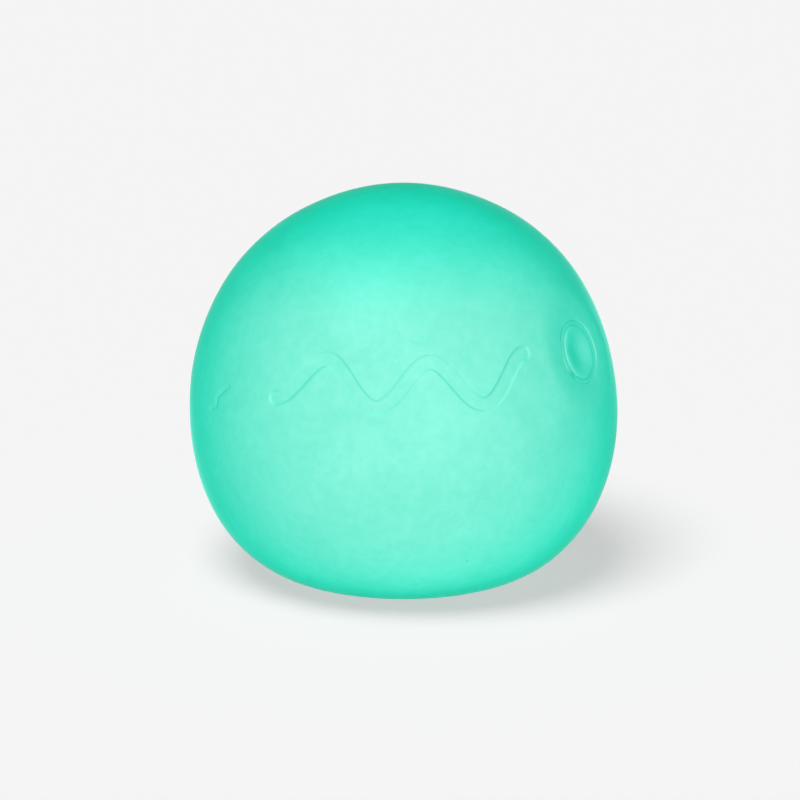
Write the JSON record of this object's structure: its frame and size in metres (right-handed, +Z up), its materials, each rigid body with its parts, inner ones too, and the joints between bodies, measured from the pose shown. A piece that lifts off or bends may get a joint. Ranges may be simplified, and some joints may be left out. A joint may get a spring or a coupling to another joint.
{
  "type": "stress ball",
  "caption": "Soft gel-filled hand ball with a translucent mint skin, a flattened foot it rests on, a plugged fill hole and a shallow wave relief; it squashes and springs back.",
  "frame": {"origin": "centre of the flat foot that the ball stands on", "axes": "+Z up through the crown, -Y towards the front, where the relief band is; the fill plug is on the right at about 29 degrees from +X towards -Y"},
  "size_m": [0.064, 0.064, 0.058],
  "materials": {
    "skin": "satin",
    "gel": "gloss",
    "plug": "satin",
    "sealant": "gloss"
  },
  "bodies": {
    "lower_half": {"skin_lower": "skin", "gel_filling": "gel"},
    "upper_half": {"skin_upper": "skin", "fill_plug": "plug", "plug_sealant": "sealant"}
  },
  "joints": [
    {"name": "squeeze", "type": "slide", "parent": "lower_half", "child": "upper_half", "axis": [0, 0, -1], "range_m": [0, 0.02], "stiffness_N_per_m": 2000, "deforming": ["skin_lower", "skin_upper", "gel_filling"]}
  ]
}
